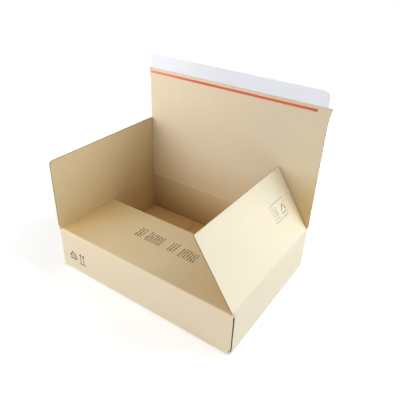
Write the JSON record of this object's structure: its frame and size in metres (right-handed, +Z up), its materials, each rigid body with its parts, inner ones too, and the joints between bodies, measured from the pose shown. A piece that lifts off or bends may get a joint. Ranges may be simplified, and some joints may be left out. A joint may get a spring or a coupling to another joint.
{
  "type": "auto-bottom shipping box",
  "caption": "Open corrugated shipping box with a glued self-locking bottom, folding flaps, and a lid with a self-seal edge and a tear tape.",
  "frame": {"origin": "centre of the base, on the surface that the box stands on", "axes": "+X to the right along the front wall, +Y from the front wall to the back wall that carries the lid, +Z up"},
  "size_m": [0.4064, 0.2912, 0.3771],
  "materials": {
    "kraft_board": "matt uncoated kraft liner",
    "tear_tape": "smooth film",
    "adhesive": "tacky film",
    "release_paper": "glazed release paper"
  },
  "bodies": {
    "carton": {"carton_body": "kraft_board"},
    "left_side_flap": {"left_flap": "kraft_board"},
    "right_side_flap": {"right_flap": "kraft_board"},
    "lid_sheet": {"lid": "kraft_board", "tear_tape": "tear_tape", "adhesive_strip": "adhesive", "release_liner": "release_paper"}
  },
  "joints": [
    {"name": "left_flap_crease", "type": "hinge", "parent": "carton", "child": "left_side_flap", "pos_m": [-0.1985, 0, 0.0918], "axis": [0, 1, 0], "range_deg": [-120, 90]},
    {"name": "right_flap_crease", "type": "hinge", "parent": "carton", "child": "right_side_flap", "pos_m": [0.1985, 0, 0.0918], "axis": [0, -1, 0], "range_deg": [-153, 56.5]},
    {"name": "lid_crease", "type": "hinge", "parent": "carton", "child": "lid_sheet", "pos_m": [0, 0.144, 0.0951], "axis": [-1, 0, 0], "range_deg": [0, 105]}
  ]
}
